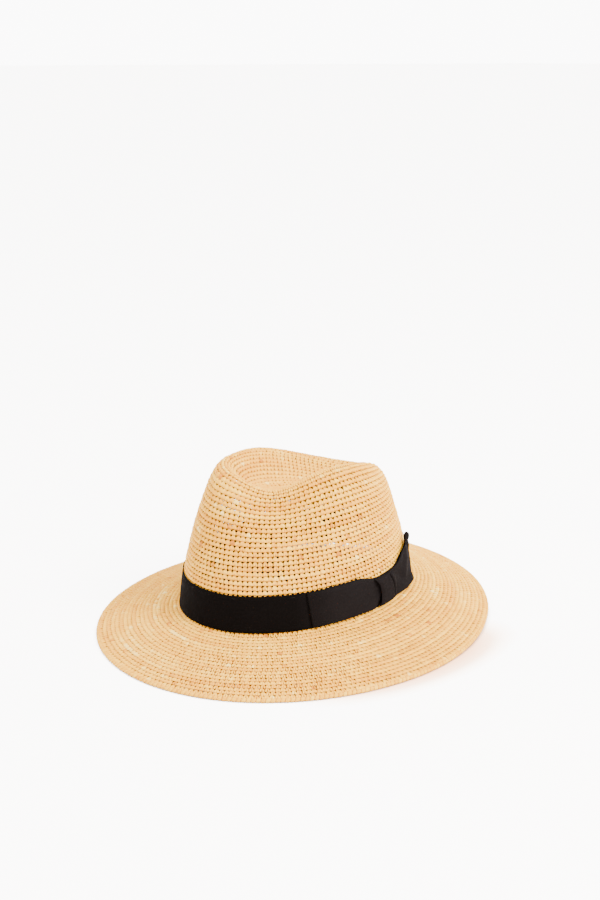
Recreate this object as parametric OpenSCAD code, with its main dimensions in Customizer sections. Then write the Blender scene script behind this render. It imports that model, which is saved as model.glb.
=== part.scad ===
// Straw sun hat: crocheted straw crown with a teardrop crease, gently sloping brim,
// ribbon band with a flat side bow, inner sweatband and a wired brim edge.
// Units are millimetres, +Z up, front of the hat toward -Y, the bow on the wearer's left (+X).
// The hat stands on its brim edge, the table is z = 0.

/* [Straw body] */
// Half width of the straw crown at the brim line
crown_half_w = 81; // [78:0.5:84]
// Half length of the straw crown at the brim line
crown_half_l = 103.5; // [100:0.5:107]
// Height of the crown rim above the brim line, before the crease is pressed in
crown_h = 110.5; // [103:0.5:117]
// Thickness of the crocheted straw
straw_t = 2.4; // [1.8:0.1:3]
// How far the two front pinches are pushed in
pinch_depth = 8; // [4:0.5:10]
// How deep the crease lies below the straight line between the rims
crease_drop = 19; // [14:0.5:23]

/* [Brim] */
// Mean reach of the brim, measured flat from the crown to the edge
brim_reach = 68; // [60:0.5:76]
// Height of the brim line above the table in the middle of the hat
brim_line_z = 25; // [21:0.5:29]
// Forward lean of the crown in degrees
crown_pitch = 3.2; // [2:0.1:4]
// Lift of the brim edge at the back
back_lift = 5; // [3:0.5:8]
// Outer radius of the rolled edge round
edge_roll_r = 1.7; // [1.6:0.1:2]
// Radius of the wire in the edge
wire_r = 0.7; // [0.6:0.05:0.75]
// Length of the crimp sleeve that joins the wire ends
sleeve_len = 12; // [9:1:14]

/* [Band and bow] */
// Width of the ribbon band
band_w = 29; // [24:1:32]
// Thickness of one ribbon layer
ribbon_t = 0.7; // [0.5:0.05:0.8]
// Angle of the folded front end of the bow, from the front toward the wearer's left
loop_front = 69; // [64:1:76]
// Angle of the middle of the bow knot
knot_at = 109.5; // [106:0.5:113]
// Angle of the folded back end of the rear loop
loop_rear = 149; // [144:1:154]
// Width of the knot
knot_w = 14; // [10:0.5:16]
// How far the knot draws the upper edge of the ribbon down
gather = 5; // [2:0.5:6]
// How far the rear half of the bow stands out above the brim
loop_swell = 3; // [1:0.5:4]
// How high the tip of the bow tail stands above the brim line
tail_tip_h = 41; // [36:1:48]
// How far the tip of the bow tail curls away from the crown
tail_curl = 2; // [0.5:0.5:5]

/* [Inside] */
// Height of the sweatband
sweat_h = 30; // [24:1:34]
// Thickness of the sweatband
sweat_t = 0.8; // [0.6:0.05:1]
// Number of sweatband stitches
sweat_stitches = 44; // [28:2:60]
// Width of the blank size label
label_w = 22; // [16:1:28]
// Height of the blank size label
label_h = 14; // [10:1:18]

/* [Hidden] */

straw_col = [0.90, 0.76, 0.53];
ribbon_col = [0.10, 0.09, 0.09];
sweat_col = [0.13, 0.12, 0.12];
steel_col = [0.70, 0.70, 0.72];

gap = 0.08;                       // air between neighbouring sheets
NP = 72;                          // steps round the hat
NEAR_MORE = 3;                    // the brim is a little wider on the bow side
FAR_LESS = 2;                     // and a little narrower on the other side
FRONT_MORE = 3;
BACK_LESS = 2;
kw = crown_half_w / 81;
kl = crown_half_l / 103.5;
kh = crown_h / 110.5;
kp = pinch_depth / 8;
shift_x = -(NEAR_MORE + FAR_LESS) / 2;
shift_y = (FRONT_MORE + BACK_LESS) / 2;

// rings of the brim: share of the reach, edge first
BF = [1, 0.94, 0.8, 0.62, 0.44, 0.28, 0.15, 0.07, 0.03];
// rings of the crown from the brim line to the middle of the crease:
// half width, half length, middle y, height, then how the height changes round the ring
// (front-back, left-right, twice round even, twice round odd), pinch in, pinch down near, far
cz = crown_h - crease_drop;
RG = [
 [81.0, 103.5,  0.0,   0.0,  0.0,  0.0,  0.0,  0.0,  0,  0, 0],
 [80.0, 102.3,  0.0,   9.0,  0.0,  0.0,  0.0,  0.0,  0,  0, 0],
 [77.8,  99.6,  0.5,  26.0,  0.0,  0.0,  0.0,  0.0,  0,  0, 0],
 [74.6,  96.0,  1.1,  43.8,  0.3, -0.4, -0.2,  0.0,  1,  0, 0],
 [70.3,  91.2,  1.4,  61.6,  2.0, -0.7, -0.5, -0.5,  3,  1, 0],
 [65.0,  86.6,  3.0,  79.0,  5.4, -0.6, -1.2, -1.5,  6,  4, 0],
 [58.4,  81.4,  4.8,  94.7,  9.1,  0.0, -2.5, -3.0,  8,  9, 1],
 [50.2,  74.2,  5.0, 106.5, 12.4,  1.2, -3.7, -4.5,  8, 13, 2],
 [40.8,  65.2,  4.5, 110.5, 14.4,  2.2, -4.2, -5.0,  5, 14, 2],
 [30.8,  55.5,  2.1, 105.5, 12.9,  1.2, -3.2, -4.0,  2, 12, 2],
 [21.2,  46.5, -0.9,  98.0,  9.9,  0.0, -2.0, -2.0,  0,  6, 0],
 [12.4,  38.2, -3.8,  cz + 1.5, 8.0, 0.0, -0.6, -1.0, 0,  1, 0],
 [ 5.5,  31.5, -5.0,  cz,  6.2,  0.0,  0.0,  0.0,  0,  0, 0],
 [-5.5,  24.5, -5.0,  cz,  4.8,  0.0,  0.0,  0.0,  0,  0, 0],
 [-12.4, 17.5, -3.8,  cz + 1.5, 3.2, 0.0, 0.0, 0.0,  0,  0, 0]];
NB = len(BF);
K = NB + len(RG);
T_BREAK = NB;                     // the crown starts here
T_TOP = K - 2.62;                 // last ring of the crown, close to the start of the crochet
T_PLATE = 0.85;                   // the brim sheet stops here, the edge roll goes on

function sm(a) = let(c = min(1, max(0, a))) c * c * (3 - 2 * c);
function wrap(p) = p > 180 ? p - 360 : (p < -180 ? p + 360 : p);
function edge_z(p) = let(w = wrap(p), a = abs(w), q = w < 0 ? w : w - 360)
    back_lift * sm((a - 100) / 70) + 4.5 * exp(-pow((q + 145) / 38, 2)) * sm((a - 95) / 30);
function reach(p) = let(s = sin(p), c = cos(p))
    brim_reach + (s > 0 ? NEAR_MORE * s : FAR_LESS * s)
    + (c > 0 ? FRONT_MORE * c * c : -BACK_LESS * c * c);
function out_n(p) = let(a = crown_half_w, b = crown_half_l, x = sin(p) / a, y = -cos(p) / b, n = sqrt(x * x + y * y))
    [x / n, y / n];
function brim_pt(f, p) = let(a = crown_half_w, b = crown_half_l, x = a * sin(p), y = -b * cos(p),
    n = out_n(p), r = reach(p) * f, zb = brim_line_z + y * sin(crown_pitch), ze = edge_z(p) + 2.6,
    pr = f - 0.05 * sin(180 * f))
    [x + n[0] * r + shift_x, y * cos(crown_pitch) + n[1] * r + shift_y, zb + (ze - zb) * pr];
function crown_pt(i, p) = let(r = RG[i], s = sin(p), c = cos(p), w = abs(wrap(p)),
    g = exp(-pow((w - 52) / 29, 2)), nn = sqrt(s * s + 0.3 * c * c) + 0.000001,
    dn = wrap(p) > 0 ? r[9] : r[10],
    x = kw * r[0] * s - kp * r[8] * g * s / nn,
    y = kl * (r[2] - r[1] * c) + kp * r[8] * g * 0.55 * c / nn,
    h = kh * (r[3] + r[4] * c + r[5] * s + r[6] * cos(2 * p) + r[7] * sin(2 * p) - dn * g))
    [x + shift_x, y * cos(crown_pitch) - h * sin(crown_pitch) + shift_y,
     brim_line_z + y * sin(crown_pitch) + h * cos(crown_pitch)];
function ctrl(k, p) = k < NB ? brim_pt(BF[k], p) : crown_pt(k - NB, p);
function cc(k, p) = k < 0 ? 2 * ctrl(0, p) - ctrl(1, p) : (k >= K ? 2 * ctrl(K - 1, p) - ctrl(K - 2, p) : ctrl(k, p));
// point of the outer straw surface: p degrees round the hat, t rings up from the brim edge
function surf(p, t) = let(i = min(floor(t), K - 2), u = t - i, v = 1 - u)
    (v * v * v * cc(i - 1, p) + (3 * u * u * u - 6 * u * u + 4) * cc(i, p)
     + (3 * v * v * v - 6 * v * v + 4) * cc(i + 1, p) + u * u * u * cc(i + 2, p)) / 6;
function unit(v) = v / norm(v);
function nrm(p, t) = unit(cross(surf(p + 1, t) - surf(p - 1, t), surf(p, t + 0.05) - surf(p, t - 0.05)));
function off_pt(p, t, d) = surf(p, t) + d * nrm(p, t);
// ring number at a height above the brim line, on the straight lower wall
function t_h(h) = lookup(h, [[1.4, T_BREAK], [10.3, T_BREAK + 1], [26.2, T_BREAK + 2],
    [43.5, T_BREAK + 3], [61, T_BREAK + 4], [78, T_BREAK + 5]]);
function wall(p, h, d) = off_pt(p, t_h(h), d);

// closed ring made of loops: rows[i] is the section at step i, all sections have the same length
module ring_sweep(rows) {
    n = len(rows); m = len(rows[0]);
    polyhedron(points = [for (r = rows) for (q = r) q],
        faces = [for (i = [0:n - 1]) let(j = (i + 1) % n) for (k = [0:m - 1]) let(l = (k + 1) % m)
            each [[i * m + k, i * m + l, j * m + k], [j * m + k, i * m + l, j * m + l]]]);
}
// open sweep with flat ends; the section is a closed outline
module open_sweep(rows) {
    n = len(rows); m = len(rows[0]);
    polyhedron(points = [for (r = rows) for (q = r) q],
        faces = concat([for (i = [0:n - 2]) for (k = [0:m - 1]) let(l = (k + 1) % m)
            each [[i * m + k, i * m + l, (i + 1) * m + k], [(i + 1) * m + k, i * m + l, (i + 1) * m + l]]],
            // two-sided sections are closed as a ladder so that every end face stays flat
            [for (k = [0:m / 2 - 2]) let(a = k, b = k + 1, c = m - 2 - k, d = m - 1 - k)
                each [[b, a, d], [c, b, d]]],
            [for (k = [0:m / 2 - 2]) let(o = (n - 1) * m, a = k, b = k + 1, c = m - 2 - k, d = m - 1 - k)
                each [[o + a, o + b, o + d], [o + b, o + c, o + d]]]));
}
function steps(a, b, n) = [for (i = [0:n]) a + (b - a) * i / n];
// strip of sheet on the crown wall between two heights, open along p
module wall_patch(p0, p1, h0, h1, d0, d1, np, nh) {
    open_sweep([for (p = steps(p0, p1, np))
        concat([for (h = steps(h0, h1, nh)) wall(p, h, d1)], [for (h = steps(h1, h0, nh)) wall(p, h, d0)])]);
}
// strip of sheet that runs right round the crown wall
module wall_ring(h0, h1, d0, d1, nh) {
    ring_sweep([for (i = [0:NP - 1]) let(p = i * 360 / NP)
        concat([for (h = steps(h0, h1, nh)) wall(p, h, d1)], [for (h = steps(h1, h0, nh)) wall(p, h, d0)])]);
}
// put a small block on the wall, x along the wall, y outward, z up the wall
module on_wall(p, h, d, turn = 0) {
    c = wall(p, h, d); t = t_h(h); n = nrm(p, t);
    e = unit(surf(p + 1, t) - surf(p - 1, t)); u = cross(e, n);
    s = u[2] < 0 ? -1 : 1;
    multmatrix([[s * e[0], n[0], s * u[0], c[0]], [s * e[1], n[1], s * u[1], c[1]], [s * e[2], n[2], s * u[2], c[2]], [0, 0, 0, 1]])
        rotate([0, turn, 0]) children();
}

// crocheted crown: side wall, rim and the pressed teardrop crease in one continuous fabric
module straw_crown() {
    NT = 26; m = NT + 1;
    ts = concat(steps(T_BREAK, T_BREAK + 4, 6), [for (i = [1:NT - 6]) T_BREAK + 4 + (T_TOP - T_BREAK - 4) * i / (NT - 6)]);
    outer = [for (t = ts) for (i = [0:NP - 1]) off_pt(i * 360 / NP, t, 0)];
    inner = [for (t = ts) for (i = [0:NP - 1]) off_pt(i * 360 / NP, t, -straw_t)];
    no = m * NP;
    top_o = surf(0, T_TOP) / 2 + surf(180, T_TOP) / 2;
    color(straw_col) polyhedron(points = concat(outer, inner, [top_o, top_o - [0, 0, straw_t]]),
        faces = concat(
            [for (j = [0:NT - 1]) for (i = [0:NP - 1]) let(k = (i + 1) % NP)
                each [[j * NP + i, (j + 1) * NP + i, j * NP + k], [(j + 1) * NP + i, (j + 1) * NP + k, j * NP + k]]],
            [for (j = [0:NT - 1]) for (i = [0:NP - 1]) let(k = (i + 1) % NP)
                each [[no + j * NP + i, no + j * NP + k, no + (j + 1) * NP + i], [no + (j + 1) * NP + i, no + j * NP + k, no + (j + 1) * NP + k]]],
            [for (i = [0:NP - 1]) let(k = (i + 1) % NP) each [[i, k, no + i], [k, no + k, no + i]]],
            [for (i = [0:NP - 1]) let(k = (i + 1) % NP) [NT * NP + i, 2 * no, NT * NP + k]],
            [for (i = [0:NP - 1]) let(k = (i + 1) % NP) [no + NT * NP + i, no + NT * NP + k, 2 * no + 1]]));
}

// crocheted brim sheet from the crown to the edge roll
module straw_brim() {
    ts = concat(steps(T_PLATE, 6, 6), [7, 8, 8.5, T_BREAK]);
    color(straw_col) ring_sweep([for (i = [0:NP - 1]) let(p = i * 360 / NP)
        concat([for (t = ts) off_pt(p, t, 0)], [for (k = [len(ts) - 1:-1:0]) off_pt(p, ts[k], -straw_t)])]);
}

// middle line of the rolled edge
function roll_c(p) = let(q = brim_pt(1 - edge_roll_r / reach(p), p)) [q[0], q[1], edge_z(p) + edge_roll_r];
function roll_sec(p, r, a) = let(c = roll_c(p), n = out_n(p)) c + [n[0] * r * cos(a), n[1] * r * cos(a), r * sin(a)];
function sleeve_room(p) = abs(abs(wrap(p)) - 180) < 8 ? 1.4 : wire_r + 0.05;
// middle of the sleeve, a little inside the bend of the roll
sleeve_c = roll_c(180) * 0.75 + (roll_c(175) + roll_c(185)) * 0.125;
// last crochet round, worked over the wire, open in a slit toward the brim sheet
module brim_edge_roll() {
    color(straw_col) ring_sweep([for (i = [0:NP - 1]) let(p = i * 360 / NP)
        concat([for (a = [-162:36:162]) roll_sec(p, edge_roll_r, a)],
               [for (a = [162:-36:-162]) roll_sec(p, sleeve_room(p), a)])]);
}
function wire_sec(c, p) = let(n = out_n(p)) [for (k = [0:7]) let(a = k * 45)
    c + [n[0] * wire_r * cos(a), n[1] * wire_r * cos(a), wire_r * sin(a)]];
// wire that keeps the brim shape, its ends meet in the sleeve at the back
module brim_wire() {
    rows = concat([wire_sec(sleeve_c - [0.5, 0, 0], -180), wire_sec(sleeve_c - [sleeve_len / 2, 0, 0], -180)],
        [for (i = [1:NP - 1]) let(p = i * 360 / NP - 180) wire_sec(roll_c(p), p)],
        [wire_sec(sleeve_c + [sleeve_len / 2, 0, 0], 180), wire_sec(sleeve_c + [0.5, 0, 0], 180)]);
    n = len(rows); m = 8;
    color(steel_col) polyhedron(points = [for (r = rows) for (q = r) q], faces = concat(
        [for (i = [0:n - 2]) for (k = [0:m - 1]) let(l = (k + 1) % m)
            each [[i * m + k, i * m + l, (i + 1) * m + k], [(i + 1) * m + k, i * m + l, (i + 1) * m + l]]],
        [[for (k = [m - 1:-1:0]) k]], [[for (k = [0:m - 1]) (n - 1) * m + k]]));
}
// crimped sleeve over the two wire ends
module wire_joiner() {
    color([0.75, 0.62, 0.35]) translate(sleeve_c) rotate([0, 90, 0]) difference() {
        cylinder(r = wire_r + 0.35, h = sleeve_len, center = true, $fn = 32);
        cylinder(r = wire_r + 0.06, h = sleeve_len + 1, center = true, $fn = 32);
    }
}

// how strongly the knot gathers the ribbon at an angle, and how far the bow stands out there
function drawn(p) = gather * exp(-pow((p - knot_at - 3) / 15, 4));
function swell(p, h) = loop_swell * sm((p - knot_at - 5) / 12) * sm((loop_rear - p) / 10) * (1 - 0.6 * sm((h - 3) / 26));
// ribbon band round the foot of the crown
module hat_band() {
    color(ribbon_col) ring_sweep([for (i = [0:NP - 1]) let(p = i * 360 / NP, top = 1.6 + band_w - drawn(p))
        concat([for (h = steps(1.6, top, 4)) wall(p, h, gap + ribbon_t)], [for (h = steps(top, 1.6, 4)) wall(p, h, gap)])]);
}
D1 = 2 * gap + ribbon_t;                 // first bow layer
D2 = D1 + ribbon_t + 0.3;                // second bow layer
D3 = D2 + ribbon_t + gap;                // tail
D4 = D3 + ribbon_t + gap;                // knot
// folded loop: two ribbon layers joined by a round fold at pf, both ends under the knot at pk.
// tuck lifts the lower edge at the knot, puff lets the outer layer stand out
module folded_loop(pf, pk, h0, h1, tuck, puff, n) {
    dd = (D2 + ribbon_t - D1) / 2; dm = D1 + dd; sgn = pf < pk ? -1 : 1; fold = 0.75;
    sec = concat([for (i = [0:n]) [pk + (pf - pk) * i / n, D2 + ribbon_t, puff]],
                 [for (a = [60:-60:-60]) [pf + sgn * fold * cos(a), dm + dd * sin(a), 0]],
                 [for (i = [n:-1:0]) [pk + (pf - pk) * i / n, D1, 0]],
                 [for (i = [0:n]) [pk + (pf - pk) * i / n, D1 + ribbon_t, 0]],
                 [for (i = [n:-1:0]) [pk + (pf - pk) * i / n, D2, puff]]);
    m = len(sec); nh = 3;
    rows = [for (v = steps(0, 1, nh)) [for (q = sec) let(
            lo = h0 + tuck * sm(1 - abs(q[0] - pk) / 9), h = lo + (h1 - drawn(q[0]) - lo) * v)
        wall(q[0], h, q[1] + q[2] * swell(q[0], h))]];
    // index helpers for the two end faces
    e0 = [for (i = [0:n]) i]; f0 = n + 1; g0 = n + 4; k0 = g0 + n + 1; l0 = k0 + n + 1;
    cap = concat(
        [for (i = [0:n - 1]) each [[i, i + 1, l0 + n - i], [i + 1, l0 + n - i - 1, l0 + n - i]]],
        [for (i = [0:n - 1]) each [[g0 + i, g0 + i + 1, k0 + n - i], [g0 + i + 1, k0 + n - i - 1, k0 + n - i]]],
        [[n, f0, l0], [f0, f0 + 1, l0], [f0 + 1, k0 + n, l0], [f0 + 1, f0 + 2, k0 + n], [f0 + 2, g0, k0 + n]]);
    flip = pf > pk;
    polyhedron(points = [for (r = rows) for (q = r) q],
        faces = concat([for (j = [0:nh - 1]) for (k = [0:m - 1]) let(l = (k + 1) % m)
            each orient(flip, [[j * m + k, j * m + l, (j + 1) * m + k], [(j + 1) * m + k, j * m + l, (j + 1) * m + l]])],
            [for (c = cap) orient1(!flip, c)],
            [for (c = cap) orient1(flip, [for (v = c) v + nh * m])]));
}
function orient1(f, c) = f ? [c[2], c[1], c[0]] : c;
function orient(f, l) = [for (c = l) orient1(f, c)];
// front half of the flat bow, its lower corner is tucked in at the knot
module bow_front_loop() {
    color(ribbon_col) folded_loop(loop_front, knot_at - 0.3, 2.2, band_w + 1, 7, 0, 14);
}
// rear half of the flat bow
module bow_rear_loop() {
    color(ribbon_col) folded_loop(loop_rear, knot_at + 0.3, 2.2, band_w + 1, 1, 1, 14);
}
// ribbon tail that fans up and back from the knot, its top corner curls away from the crown
module bow_tail() {
    n = 14; nh = 4;
    color(ribbon_col) open_sweep([for (i = [0:n]) let(u = i / n, p = knot_at + 0.4 + (loop_rear - 3 - knot_at - 0.4) * u,
            lo = 3 + 2 * u, hi = band_w + 0.8 - drawn(p) + (tail_tip_h - band_w - 0.8) * pow(u, 2.2))
        concat([for (j = [0:nh]) let(v = j / nh, h = lo + (hi - lo) * v) wall(p, h, D3 + ribbon_t + swell(p, h) + tail_curl * u * u * v * v)],
               [for (j = [nh:-1:0]) let(v = j / nh, h = lo + (hi - lo) * v) wall(p, h, D3 + swell(p, h) + tail_curl * u * u * v * v)])]);
}
// cross strap that gathers the bow
module bow_knot() {
    w = knot_w / 2 / 88 * 57.3;
    color(ribbon_col) open_sweep([for (i = [-4:4]) let(p = knot_at + w * i / 4, b = 0.9 * cos(i * 20))
        let(top = band_w + 1.4 - gather)
        concat([for (h = steps(1.5, top, 4)) wall(p, h, D4 + ribbon_t + b)],
               [for (h = steps(top, 1.5, 4)) wall(p, h, D4)])]);
}
// black thread tacks along the upper edge of the band
module band_tacks() {
    color(ribbon_col) for (p = [-150:30:60]) on_wall(p, band_w - 1, 2 * gap + ribbon_t + 0.2)
        cube([3, 0.3, 0.5], center = true);
}
// thread tacks that hold the loops of the bow to the band
module bow_tacks() {
    color(ribbon_col) for (q = [[knot_at - 28, 5], [knot_at - 28, band_w - 3], [knot_at - 14, 5]])
        on_wall(q[0], q[1], D2 + ribbon_t + gap + 0.2) cube([2.4, 0.3, 0.5], center = true);
}

S0 = -straw_t - gap;
// ribbon sweatband inside the foot of the crown
module sweatband() {
    color(sweat_col) wall_ring(1.6, 1.6 + sweat_h, S0 - sweat_t, S0, 4);
}
// thread stitches along the lower edge of the sweatband
module sweatband_stitches() {
    color(ribbon_col) for (i = [0:sweat_stitches - 1])
        on_wall(i * 360 / sweat_stitches + 3, 4, S0 - sweat_t - gap - 0.2) cube([3.2, 0.3, 0.6], center = true);
}
// short tape over the joint of the sweatband at the back
module sweatband_seam_tape() {
    color(sweat_col) wall_patch(176, 184, 6, sweat_h - 1, S0 - sweat_t - gap - 0.5, S0 - sweat_t - gap, 4, 3);
}
// blank size label beside the seam
module size_label() {
    w = label_w / 2 / 95 * 57.3;
    color([0.95, 0.94, 0.90]) wall_patch(202 - w, 202 + w, 9, 9 + label_h, S0 - sweat_t - gap - 0.4, S0 - sweat_t - gap, 4, 2);
}

straw_crown();
straw_brim();
brim_edge_roll();
brim_wire();
wire_joiner();
hat_band();
bow_front_loop();
bow_rear_loop();
bow_tail();
bow_knot();
band_tacks();
bow_tacks();
sweatband();
sweatband_stitches();
sweatband_seam_tape();
size_label();
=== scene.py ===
import math

import bpy
import numpy as np
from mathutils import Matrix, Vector


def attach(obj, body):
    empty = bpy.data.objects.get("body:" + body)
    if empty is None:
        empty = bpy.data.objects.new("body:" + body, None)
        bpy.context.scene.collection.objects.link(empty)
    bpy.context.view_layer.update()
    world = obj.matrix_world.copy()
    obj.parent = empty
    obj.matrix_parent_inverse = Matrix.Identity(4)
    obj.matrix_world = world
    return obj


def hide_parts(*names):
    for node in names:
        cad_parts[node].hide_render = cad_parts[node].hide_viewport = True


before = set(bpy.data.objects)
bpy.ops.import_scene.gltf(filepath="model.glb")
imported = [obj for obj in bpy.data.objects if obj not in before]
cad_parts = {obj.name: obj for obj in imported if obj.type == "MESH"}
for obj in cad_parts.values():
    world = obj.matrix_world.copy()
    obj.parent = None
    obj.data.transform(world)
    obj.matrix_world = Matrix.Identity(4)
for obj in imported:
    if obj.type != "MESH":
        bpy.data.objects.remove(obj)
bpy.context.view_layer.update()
rng = np.random.default_rng(41)

# ---------------------------------------------------------------- shape of the straw (same as the CAD)
HW, HL = 81.0, 103.5
STRAW_T = 2.4
REACH, LINE_Z, PITCH, BACK_LIFT = 68.0, 25.0, 3.2, 5.0
NEAR_MORE, FAR_LESS, FRONT_MORE, BACK_LESS = 3.0, 2.0, 3.0, 2.0
SHX, SHY = -(NEAR_MORE + FAR_LESS) / 2, (FRONT_MORE + BACK_LESS) / 2
ROLL_R, WIRE_R = 1.7, 0.7
BAND_W, RIB_T, GAP = 29.0, 0.7, 0.08
SWEAT_H, SWEAT_T = 30.0, 0.8
LOOP_FRONT, KNOT_AT, LOOP_REAR, KNOT_W = 69.0, 109.5, 149.0, 14.0
TAIL_TIP_H, TAIL_CURL, GATHER, SWELL = 41.0, 5.0, 5.0, 3.0
BF = [1, 0.94, 0.8, 0.62, 0.44, 0.28, 0.15, 0.07, 0.03]
CZ = 110.5 - 19.0
RG = [
    [81.0, 103.5, 0.0, 0.0, 0, 0, 0, 0, 0, 0, 0],
    [80.0, 102.3, 0.0, 9.0, 0, 0, 0, 0, 0, 0, 0],
    [77.8, 99.6, 0.5, 26.0, 0, 0, 0, 0, 0, 0, 0],
    [74.6, 96.0, 1.1, 43.8, 0.3, -0.4, -0.2, 0, 1, 0, 0],
    [70.3, 91.2, 1.4, 61.6, 2.0, -0.7, -0.5, -0.5, 3, 1, 0],
    [65.0, 86.6, 3.0, 79.0, 5.4, -0.6, -1.2, -1.5, 6, 4, 0],
    [58.4, 81.4, 4.8, 94.7, 9.1, 0.0, -2.5, -3.0, 8, 9, 1],
    [50.2, 74.2, 5.0, 106.5, 12.4, 1.2, -3.7, -4.5, 8, 13, 2],
    [40.8, 65.2, 4.5, 110.5, 14.4, 2.2, -4.2, -5.0, 5, 14, 2],
    [30.8, 55.5, 2.1, 105.5, 12.9, 1.2, -3.2, -4.0, 2, 12, 2],
    [21.2, 46.5, -0.9, 98.0, 9.9, 0.0, -2.0, -2.0, 0, 6, 0],
    [12.4, 38.2, -3.8, CZ + 1.5, 8.0, 0, -0.6, -1.0, 0, 1, 0],
    [5.5, 31.5, -5.0, CZ, 6.2, 0, 0, 0, 0, 0, 0],
    [-5.5, 24.5, -5.0, CZ, 4.8, 0, 0, 0, 0, 0, 0],
    [-12.4, 17.5, -3.8, CZ + 1.5, 3.2, 0, 0, 0, 0, 0, 0],
]
NB = len(BF)
K = NB + len(RG)
T_BREAK, T_PLATE, T_TIP = NB, 0.85, K - 2.5
D2R = math.pi / 180


def sm(a):
    c = np.clip(a, 0, 1)
    return c * c * (3 - 2 * c)


def wrap(p):
    return (np.asarray(p, float) + 180.0) % 360.0 - 180.0


def edge_z(p):
    w = wrap(p)
    a = np.abs(w)
    q = np.where(w < 0, w, w - 360)
    return BACK_LIFT * sm((a - 100) / 70) + 4.5 * np.exp(-(((q + 145) / 38) ** 2)) * sm((a - 95) / 30)


def reach(p):
    s, c = np.sin(p * D2R), np.cos(p * D2R)
    return REACH + np.where(s > 0, NEAR_MORE * s, FAR_LESS * s) + np.where(c > 0, FRONT_MORE * c * c, -BACK_LESS * c * c)


def out_n(p):
    x, y = np.sin(p * D2R) / HW, -np.cos(p * D2R) / HL
    n = np.sqrt(x * x + y * y)
    return x / n, y / n


def brim_pt(f, p):
    p = np.asarray(p, float)
    x, y = HW * np.sin(p * D2R), -HL * np.cos(p * D2R)
    nx, ny = out_n(p)
    r = reach(p) * f
    zb = LINE_Z + y * math.sin(PITCH * D2R)
    pr = f - 0.05 * math.sin(math.pi * f)
    return np.stack([x + nx * r + SHX, y * math.cos(PITCH * D2R) + ny * r + SHY, zb + (edge_z(p) + 2.6 - zb) * pr], -1)


def crown_pt(i, p):
    r = RG[i]
    s, c, w = np.sin(p * D2R), np.cos(p * D2R), wrap(p)
    g = np.exp(-(((np.abs(w) - 52) / 29) ** 2))
    nn = np.sqrt(s * s + 0.3 * c * c) + 1e-6
    dn = np.where(w > 0, r[9], r[10])
    x = r[0] * s - r[8] * g * s / nn
    y = r[2] - r[1] * c + r[8] * g * 0.55 * c / nn
    h = r[3] + r[4] * c + r[5] * s + r[6] * np.cos(2 * p * D2R) + r[7] * np.sin(2 * p * D2R) - dn * g
    cp, sp = math.cos(PITCH * D2R), math.sin(PITCH * D2R)
    return np.stack([x + SHX, y * cp - h * sp + SHY, LINE_Z + y * sp + h * cp], -1)


NPH = 1440
PHI = np.arange(NPH) * 360.0 / NPH
NT = 900
TT = np.linspace(0, K - 2.45, NT)


def build_table():
    rows = [brim_pt(f, PHI) for f in BF] + [crown_pt(i, PHI) for i in range(len(RG))]
    c = np.array(rows)
    c = np.concatenate([(2 * c[0] - c[1])[None], c, (2 * c[-1] - c[-2])[None]], 0)
    i = np.minimum(np.floor(TT).astype(int), K - 2)
    u = TT - i
    b = [(1 - u) ** 3 / 6, (3 * u**3 - 6 * u * u + 4) / 6, (-3 * u**3 + 3 * u * u + 3 * u + 1) / 6, u**3 / 6]
    s = sum(b[k][:, None, None] * c[i + k] for k in range(4))
    du = np.roll(s, -2, 1) - np.roll(s, 2, 1)
    dv = np.gradient(s, axis=0)
    n = np.cross(du, dv)
    n /= np.linalg.norm(n, axis=-1, keepdims=True) + 1e-12
    return s, n


TAB_P, TAB_N = build_table()
# length along the fabric from the brim line, mean round the hat
_seg = np.linalg.norm(np.diff(TAB_P, axis=0), axis=-1).mean(1)
_len = np.concatenate([[0], np.cumsum(_seg)])
_len -= np.interp(T_BREAK, TT, _len)


def t_of_len(length):
    return np.interp(length, _len, TT)


def ev(p, t):
    """Point and outward normal of the straw surface, millimetres."""
    fp = (np.asarray(p, float) % 360.0) / 360.0 * NPH
    i = np.floor(fp).astype(int)
    u = (fp - i)[..., None]
    i %= NPH
    j = (i + 1) % NPH
    ft = np.clip((np.asarray(t, float) - TT[0]) / (TT[-1] - TT[0]) * (NT - 1), 0, NT - 1.001)
    a = np.floor(ft).astype(int)
    v = (ft - a)[..., None]

    def mix(tab):
        return (1 - v) * ((1 - u) * tab[a, i] + u * tab[a, j]) + v * ((1 - u) * tab[a + 1, i] + u * tab[a + 1, j])

    n = mix(TAB_N)
    return mix(TAB_P), n / (np.linalg.norm(n, axis=-1, keepdims=True) + 1e-12)


def pt(p, t, d):
    q, n = ev(p, t)
    return q + n * np.asarray(d)[..., None]


HT = ([1.4, 10.3, 26.2, 43.5, 61.0, 78.0], [T_BREAK + k for k in range(6)])


def t_h(h):
    # below the brim line the wall turns into the brim
    return np.interp(h, *HT) + np.minimum(np.asarray(h, float) - 1.4, 0) * 0.35


def wall(p, h, d):
    return pt(p, t_h(np.asarray(h, float)), d)


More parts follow.
